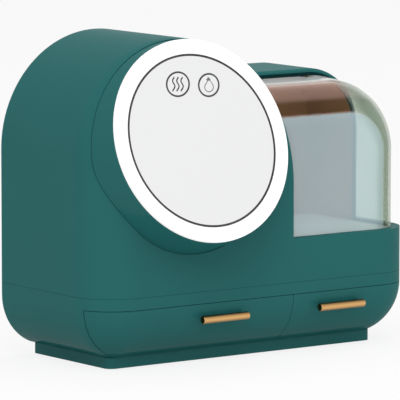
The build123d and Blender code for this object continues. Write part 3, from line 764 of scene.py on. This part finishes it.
@dataclass
class MirrorHead:
    """The leaning drum with its glowing ring, dark trim, mirror and two touch symbols."""

    centre: Triple = (-76.5 * MM, -69.86 * MM, 209.91 * MM)
    tilt: float = math.radians(18.5)
    lamps: int = 24
    glow: float = 0.3
    ring_colour: Colour = (0.84, 0.84, 0.84)
    border: float = 0.6 * MM
    border_r: float = 79.3 * MM
    border_steps: int = 240
    stroke: float = 1.7 * MM
    wave_stroke: float = 1.3 * MM
    thin_stroke: float = 0.95 * MM
    across: Point = (1.0, -0.056)
    upward: Point = (0.234, 1.0)
    warm_place: Point = (-15.2 * MM, 53.4 * MM)
    warm_ring: Point = (12.4 * MM, 11.1 * MM)
    wave_step: float = 4.6 * MM
    wave_half: float = 6.5 * MM
    wave_swing: float = 1.25 * MM
    wave_start: float = 0.05
    wave_period: float = 0.8
    light_place: Point = (18.9 * MM, 50.6 * MM)
    light_ring: Point = (11.2 * MM, 10.4 * MM)
    bulb_middle: Point = (0.3 * MM, -1.9 * MM)
    bulb_round: Point = (4.8 * MM, 4.3 * MM)
    bulb_tip: float = 1.25
    bulb_blunt: float = 0.82
    collar_middle: Point = (-0.5 * MM, 5.0 * MM)
    collar_round: Point = (1.9 * MM, 0.55 * MM)
    knob_middle: Point = (-0.4 * MM, 6.4 * MM)
    knob_round: Point = (0.8 * MM, 0.35 * MM)

    def dress(self, dresser: Dresser) -> None:
        """Put the finishes on the drum and its mirror.

        Args:
            dresser: what puts them on.
        """
        dresser.wear(Finish.TEAL_SHELL, "mirror_drum")
        dresser.wear(Finish.DARK_TRIM, "mirror_trim")
        dresser.wear(Finish.MIRROR, "mirror_glass")
        lit = LitDiffuser("lit_diffuser", self.ring_colour, self.glow, self.lamps, self.centre)
        dresser.paint("led_diffuser", lit.make())

    def plane(self) -> Matrix:
        """Find the mirror's plane.

        Returns:
            The plane: x to the right, y up along the glass, z out of it.
        """
        x_axis = Vector((1.0, 0.0, 0.0))
        z_axis = Vector((0.0, -math.cos(self.tilt), math.sin(self.tilt)))
        y_axis = z_axis.cross(x_axis)
        turn = Matrix((x_axis, y_axis, z_axis)).transposed().to_4x4()
        return Matrix.Translation(Vector(self.centre)) @ turn

    def lean(self, place: Point, points: list[Point]) -> list[Point]:
        """Put a symbol's points on the glass, where the print leans a little.

        Args:
            place: the symbol's middle on the plane.
            points: its points about that middle.

        Returns:
            The points on the plane.
        """
        return [
            (
                place[0] + x * self.across[0] + y * self.upward[0],
                place[1] + x * self.across[1] + y * self.upward[1],
            )
            for x, y in points
        ]

    def oval(self, middle: Point, half: Point, count: int = 72) -> list[Point]:
        """Return the points of an oval, from its middle, half its width and half its height."""
        steps = [2 * math.pi * k / count for k in range(count)]
        return [(middle[0] + half[0] * math.cos(a), middle[1] + half[1] * math.sin(a)) for a in steps]

    def wave(self, offset: float, count: int = 36) -> list[Point]:
        """Draw one upright wavy line of the warm-air symbol.

        Args:
            offset: how far it stands from the symbol's middle.
            count: how many steps it takes.

        Returns:
            The points in order.
        """
        path = []
        for k in range(count + 1):
            share = k / count
            swing = -self.wave_swing * math.sin(2 * math.pi * (share - self.wave_start) / self.wave_period)
            path.append((offset + swing, self.wave_half * (1 - 2 * share)))
        return path

    def bulb(self, count: int = 40) -> list[Point]:
        """Draw the light symbol's bulb, its tip up.

        Args:
            count: how many steps its round part takes.

        Returns:
            The points in order, from the tip.
        """
        tip = math.asin(1 / (1 + self.bulb_tip))
        reach = self.bulb_round[1] * (1 + self.bulb_tip) * self.bulb_blunt
        path = [(self.bulb_middle[0], self.bulb_middle[1] + reach)]
        for k in range(count + 1):
            angle = tip - (math.pi + 2 * tip) * k / count
            x = self.bulb_middle[0] + self.bulb_round[0] * math.cos(angle)
            y = self.bulb_middle[1] + self.bulb_round[1] * math.sin(angle)
            path.append((x, y))
        return path

    def build(self) -> None:
        """Print the two touch symbols and a fine dark border on the glass."""
        place = self.plane()
        bold = Ribbon(self.stroke)
        medium = Ribbon(self.wave_stroke)
        thin = Ribbon(self.thin_stroke)
        middle = (0.0, 0.0)
        warm = bmesh.new()
        bold.add(warm, self.lean(self.warm_place, self.oval(middle, self.warm_ring)), True, place)
        for step in (-1, 0, 1):
            medium.add(warm, self.lean(self.warm_place, self.wave(step * self.wave_step)), False, place)
        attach(keep_mesh("symbol_warm_air", warm, Finish.ICON_INK), CABINET)
        light = bmesh.new()
        bold.add(light, self.lean(self.light_place, self.oval(middle, self.light_ring)), True, place)
        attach(keep_mesh("symbol_light", light, Finish.ICON_INK), CABINET)
        bulb = bmesh.new()
        for outline in (
            self.bulb(),
            self.oval(self.collar_middle, self.collar_round),
            self.oval(self.knob_middle, self.knob_round),
        ):
            thin.add(bulb, self.lean(self.light_place, outline), True, place)
        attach(keep_mesh("symbol_light_bulb", bulb, Finish.GREY_INK), CABINET)
        border = bmesh.new()
        circle = self.oval(middle, (self.border_r, self.border_r), self.border_steps)
        Ribbon(self.border).add(border, circle, True, place)
        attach(keep_mesh("mirror_border", border, Finish.DARK_TRIM), CABINET)


@dataclass
class Compartment:
    """The side compartment: its lining, floor, clear cover and a dark strip of painted shadow under the
    hood's rim.
    """

    hood_face: float = 25.0 * MM
    shadow_strip_thick: float = 0.15 * MM
    shadow_strip_left: float = 15.0 * MM
    shadow_strip_turn: float = math.radians(72.0)
    shadow_strip_steps: int = 36
    corner_z: float = 197.5 * MM
    low_edge: Point = (119.4 * MM, 53.3 * MM)
    high_edge: Point = (117.3 * MM, 56.5 * MM)

    def dress(self, dresser: Dresser) -> None:
        """Put the finishes on the compartment.

        Args:
            dresser: what puts them on.
        """
        dresser.wear(Finish.BROWN_LINING, "compartment_lining")
        dresser.wear(Finish.PALE_FLOOR, "compartment_floor")
        dresser.wear(Finish.CLEAR, "clear_cover")
        dresser.wear(Finish.TEAL_SHELL, "hinge_brackets")
        dresser.wear(Finish.STEEL, "hinge_pins")

    def shadow_strip_edge(self, edge: Point) -> list[Vector]:
        """Draw one edge of the painted shadow strip, along the hood's top and round its corner.

        Args:
            edge: the x of the corner's middle, and its radius.

        Returns:
            The points in order, as x and z.
        """
        middle, radius = edge
        points = [Vector((self.shadow_strip_left, self.corner_z + radius))]
        for k in range(self.shadow_strip_steps + 1):
            angle = math.pi / 2 - self.shadow_strip_turn * k / self.shadow_strip_steps
            x = middle + radius * math.cos(angle)
            z = self.corner_z + radius * math.sin(angle)
            points.append(Vector((x, z)))
        return points

    def build(self) -> None:
        """Lay a dark strip on the hood's front face, where the clear cover closes under its rim, as painted
        shadow of the gap there.
        """
        place = Matrix.Translation((0.0, self.hood_face, 0.0)) @ Matrix.Rotation(math.pi / 2, 4, "X")
        # Painted shadow: this dark strip stands in for the shade in the gap under the hood's rim.
        shadow_strip = bmesh.new()
        edges = list(zip(self.shadow_strip_edge(self.low_edge), self.shadow_strip_edge(self.high_edge)))
        raise_strip(shadow_strip, edges, self.shadow_strip_thick, False, place)
        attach(keep_mesh("hood_shadow_strip", shadow_strip, Finish.DARK_SEAL), CABINET)


@dataclass
class Drawer:
    """One sliding drawer with its gold bar handle."""

    side: Side

    def dress(self, dresser: Dresser) -> None:
        """Put the finishes on the drawer.

        Args:
            dresser: what puts them on.
        """
        side = self.side.value
        dresser.wear(Finish.TEAL_SHELL, f"{side}_drawer_front")
        dresser.wear(Finish.TEAL_TRAY, f"{side}_drawer_tray")
        dresser.wear(Finish.GOLD, f"{side}_handle")
        dresser.wear(Finish.STEEL, f"{side}_handle_screws")


@dataclass
class Workings:
    """The pieces inside the body: lamps, boards, battery and their screws."""

    def dress(self, dresser: Dresser) -> None:
        """Put the finishes on the inner pieces.

        Args:
            dresser: what puts them on.
        """
        dresser.wear(Finish.WHITE_INNER, "mirror_carrier", "battery_holder", "demist_film", "led_chips")
        dresser.wear(Finish.BOARD, "control_board", "led_board", "touch_board")
        dresser.wear(Finish.CELL_SLEEVE, "battery_cells")
        dresser.wear(Finish.STEEL, "drum_screws")


@dataclass(frozen=True)
class Lamp:
    """A soft square studio lamp aimed at the object."""

    name: str
    place: Triple
    size: float
    power: float
    aim: Triple = (0.0, 0.0, 0.15)

    def build(self) -> None:
        """Hang the lamp."""
        data = bpy.data.lights.new(self.name, "AREA")
        data.size = self.size
        data.energy = self.power
        lamp = bpy.data.objects.new(self.name, data)
        lamp.location = self.place
        turn = Vector(self.aim) - Vector(self.place)
        lamp.rotation_euler = turn.to_track_quat("-Z", "Y").to_euler()
        bpy.context.collection.objects.link(lamp)


@dataclass
class Studio:
    """The floor, light and camera that the picture is taken with."""

    sight: Triple = (-11.5 * MM, 28.4 * MM, 150.0 * MM)
    azimuth: float = math.radians(36.08)
    elevation: float = math.radians(6.9)
    distance: float = 4.241
    far: float = 60.0
    focal_px: float = 4532.0
    middle_px: Point = (196.55, 190.13)
    frame_px: float = 400.0
    sensor: float = 36.0
    floor_half: float = 16.0
    floor_cells: int = 8
    dome: float = 0.92
    bright_side: Triple = (0.585, -0.69, 0.43)
    bright_levels: tuple[Point, Point] = ((0.25, 0.68), (1.0, 1.0))
    lamps: tuple[Lamp, ...] = field(
        default_factory=lambda: (
            Lamp("key_lamp", (-1.6, -1.9, 2.3), 1.6, 30.0),
            Lamp("top_lamp", (0.2, 0.1, 2.4), 1.8, 12.0),
        )
    )

    def build(self) -> None:
        """Lay the floor, hang the lamps and set the sky and the camera."""
        self.lay_floor()
        for lamp in self.lamps:
            lamp.build()
        self.set_sky()
        self.set_camera()
        bpy.context.scene.view_settings.view_transform = "Standard"

    def lay_floor(self) -> None:
        """Lay the pale floor under the object."""
        mesh = bmesh.new()
        cells = self.floor_cells
        bmesh.ops.create_grid(mesh, x_segments=cells, y_segments=cells, size=self.floor_half)
        floor = keep_mesh("studio_floor", mesh, Finish.FLOOR)

    def set_sky(self) -> None:
        """Light the scene from a pale dome that the camera sees as white."""
        world = bpy.data.worlds.new("studio_sky")
        bpy.context.scene.world = world
        world.use_nodes = True
        tree = world.node_tree
        tree.nodes.clear()
        output = tree.nodes.new("ShaderNodeOutputWorld")
        dome = tree.nodes.new("ShaderNodeBackground")
        dome.inputs["Strength"].default_value = self.dome
        white = tree.nodes.new("ShaderNodeBackground")
        white.inputs["Color"].default_value = (1, 1, 1, 1)
        white.inputs["Strength"].default_value = 1.0
        place = tree.nodes.new("ShaderNodeTexCoord")
        towards = tree.nodes.new("ShaderNodeVectorMath")
        towards.operation = "DOT_PRODUCT"
        towards.inputs[1].default_value = Vector(self.bright_side).normalized()
        tree.links.new(place.outputs["Generated"], towards.inputs[0])
        ramp = tree.nodes.new("ShaderNodeValToRGB")
        for element, (where, level) in zip(ramp.color_ramp.elements, self.bright_levels):
            element.position = where
            element.color = (level, level, level, 1)
        tree.links.new(towards.outputs["Value"], ramp.inputs["Fac"])
        tree.links.new(ramp.outputs["Color"], dome.inputs["Color"])
        mix = tree.nodes.new("ShaderNodeMixShader")
        tree.links.new(white_rays(tree), mix.inputs["Fac"])
        tree.links.new(dome.outputs[0], mix.inputs[1])
        tree.links.new(white.outputs[0], mix.inputs[2])
        tree.links.new(mix.outputs[0], output.inputs["Surface"])

    def set_camera(self) -> None:
        """Place the camera where the picture is seen from."""
        data = bpy.data.cameras.new("studio_camera")
        data.sensor_width = self.sensor
        data.lens = self.focal_px * self.sensor / self.frame_px
        data.shift_x = 0.5 - self.middle_px[0] / self.frame_px
        data.shift_y = self.middle_px[1] / self.frame_px - 0.5
        data.clip_end = self.far
        camera = bpy.data.objects.new("studio_camera", data)
        flat = math.cos(self.elevation)
        across = math.sin(self.azimuth) * flat
        ahead = math.cos(self.azimuth) * flat
        look = Vector((across, ahead, -math.sin(self.elevation)))
        camera.location = Vector(self.sight) - look * self.distance
        camera.rotation_euler = look.to_track_quat("-Z", "Y").to_euler()
        bpy.context.collection.objects.link(camera)
        bpy.context.scene.camera = camera


def main() -> None:
    """Build the organizer and its studio."""
    logging.basicConfig(level=logging.INFO, format="%(name)s: %(message)s")
    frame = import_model()
    dresser = Dresser(frame)
    Cabinet().dress(dresser)
    head = MirrorHead()
    head.dress(dresser)
    head.build()
    compartment = Compartment()
    compartment.dress(dresser)
    compartment.build()
    for side in Side:
        Drawer(side).dress(dresser)
    Workings().dress(dresser)
    Studio().build()


if __name__ == "__main__":
    main()
